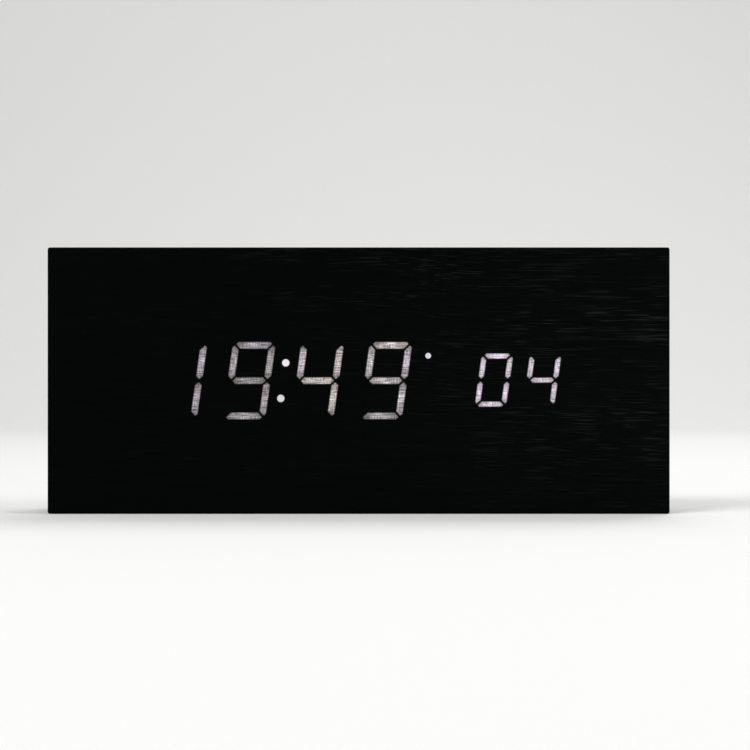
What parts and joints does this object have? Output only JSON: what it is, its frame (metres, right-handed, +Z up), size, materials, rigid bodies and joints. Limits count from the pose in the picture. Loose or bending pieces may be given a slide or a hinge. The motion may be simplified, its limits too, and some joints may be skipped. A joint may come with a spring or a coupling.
{
  "type": "digital desk clock",
  "caption": "Black wood-veneer desk clock block with seven-segment time and date digits shining through the plain front, rear buttons, battery bay and power socket.",
  "frame": {"origin": "centre of the footprint, on the surface the clock stands on", "axes": "+X to the viewer's right along the front, +Y from the lit front face to the rear cover, +Z up"},
  "size_m": [0.21, 0.04, 0.09],
  "materials": {
    "black_wood_grain": "black open-grain wood veneer, satin",
    "fibreboard": "raw medium-density fibreboard",
    "lit_time": "light shining through the veneer",
    "lit_small": "light shining through the veneer",
    "lit_dot": "light shining through the veneer",
    "black_film": "black printed film",
    "white_film": "frosted film",
    "white_plastic": "moulded white",
    "circuit_board": "green solder mask",
    "led": "clear resin over yellow phosphor",
    "chip_black": "black moulding",
    "capacitor_can": "drawn can",
    "screw_steel": "zinc plated",
    "cover_plastic": "fine sparked texture, black",
    "button_plastic": "satin black",
    "plunger_plastic": "moulded black",
    "cell_can": "plain metallic sleeve",
    "contact_plate": "nickel plated",
    "wire_red": "soft insulation",
    "wire_black": "soft insulation",
    "probe_bead": "dark epoxy bead",
    "ribbon_grey": "grey insulation"
  },
  "bodies": {
    "case": {"aaa_cell_1": "cell_can", "aaa_cell_2": "cell_can", "aaa_cell_3": "cell_can", "aaa_cell_4": "cell_can", "alarm_buzzer": "chip_black", "battery_lead_black": "wire_black", "battery_lead_red": "wire_red", "board_capacitors": "capacitor_can", "case_bottom": "black_wood_grain", "case_left": "black_wood_grain", "case_right": "black_wood_grain", "case_top": "black_wood_grain", "cell_link_1_2": "contact_plate", "cell_link_2_3": "contact_plate", "cell_link_3_4": "contact_plate", "chip_resistors": "chip_black", "clock_chip": "chip_black", "contact_springs": "contact_plate", "control_board": "circuit_board", "control_board_screws": "screw_steel", "corner_blocks": "fibreboard", "diffuser_sheet": "white_film", "display_board": "circuit_board", "display_leds_dots": "led", "display_leds_small": "led", "display_leds_time": "led", "display_screws": "screw_steel", "driver_chips": "chip_black", "front_board": "fibreboard", "front_veneer": "black_wood_grain", "light_mask": "white_plastic", "lit_dots": "lit_dot", "lit_small_digits": "lit_small", "lit_time_digits": "lit_time", "rear_cover": "cover_plastic", "rear_cover_screws": "screw_steel", "ribbon_cable": "ribbon_grey", "ribbon_header_control": "white_plastic", "ribbon_header_display": "white_plastic", "segment_stencil": "black_film", "sound_microphone": "capacitor_can", "tact_switch_down": "chip_black", "tact_switch_set": "chip_black", "tact_switch_up": "chip_black", "temperature_probe": "probe_bead", "terminal_negative": "contact_plate", "terminal_positive": "contact_plate", "usb_socket_shell": "capacitor_can", "usb_socket_tongue": "chip_black", "watch_crystal": "capacitor_can"},
    "battery_door": {"battery_door": "cover_plastic"},
    "button_set": {"button_set": "button_plastic", "switch_plunger_set": "plunger_plastic"},
    "button_up": {"button_up": "button_plastic", "switch_plunger_up": "plunger_plastic"},
    "button_down": {"button_down": "button_plastic", "switch_plunger_down": "plunger_plastic"}
  },
  "joints": [
    {"name": "battery_door_swing", "type": "hinge", "parent": "case", "child": "battery_door", "pos_m": [0.038, 0.019, 0.0219], "axis": [-1, 0, 0], "range_deg": [0, 80]},
    {"name": "button_set_press", "type": "slide", "parent": "case", "child": "button_set", "axis": [0, -1, 0], "range_m": [0, 0.0005], "stiffness_N_per_m": 600, "springref_m": -0.001},
    {"name": "button_up_press", "type": "slide", "parent": "case", "child": "button_up", "axis": [0, -1, 0], "range_m": [0, 0.0005], "stiffness_N_per_m": 600, "springref_m": -0.001},
    {"name": "button_down_press", "type": "slide", "parent": "case", "child": "button_down", "axis": [0, -1, 0], "range_m": [0, 0.0005], "stiffness_N_per_m": 600, "springref_m": -0.001}
  ]
}
